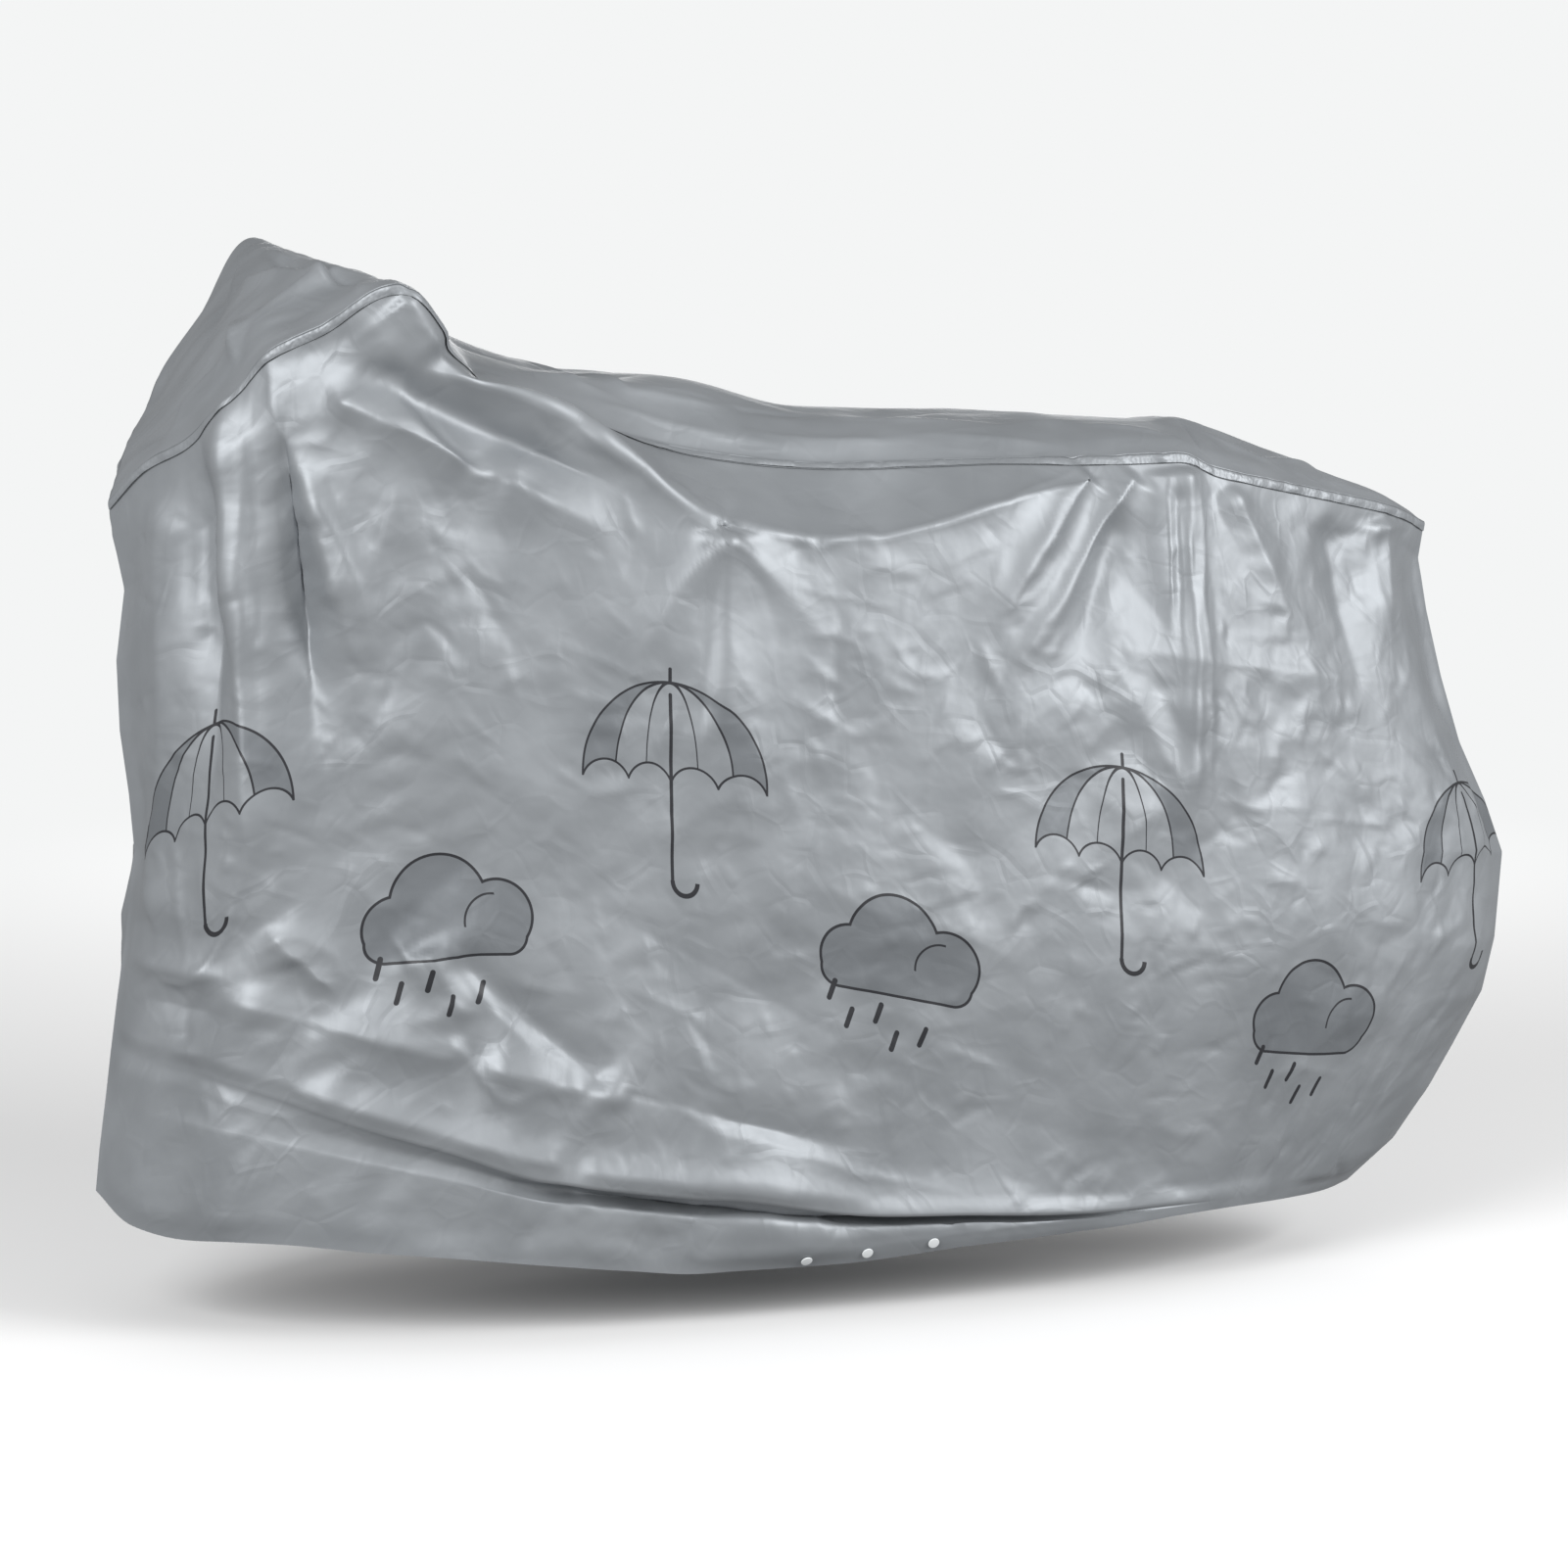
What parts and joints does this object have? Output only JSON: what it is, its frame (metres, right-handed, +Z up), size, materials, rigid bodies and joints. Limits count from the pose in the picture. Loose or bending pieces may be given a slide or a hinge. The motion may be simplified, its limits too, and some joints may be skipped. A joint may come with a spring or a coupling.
{
  "type": "fitted cover for a pedal cycle or scooter",
  "caption": "Fitted plastic-film cover draped in folds from two handlebar peaks to a low rear corner, open below, with press-snaps at the hem.",
  "frame": {"origin": "underside of the top panel over the seat, on the middle plane, where the cover is held up", "axes": "+Z up, -X towards the front with the two peaks, -Y towards the near side with the snaps"},
  "size_m": [1.638, 0.5955, 1.1021],
  "materials": {
    "side_film": "satin silver-grey PEVA film with soft creases",
    "top_film": "satin silver-grey PEVA film with soft creases",
    "snap_plastic": "white moulded plastic, smooth"
  },
  "bodies": {
    "root": {"near_side_panel": "side_film", "far_side_panel": "side_film", "top_panel": "top_film", "snap_front": "snap_plastic", "snap_middle": "snap_plastic", "snap_rear": "snap_plastic"}
  },
  "joints": []
}
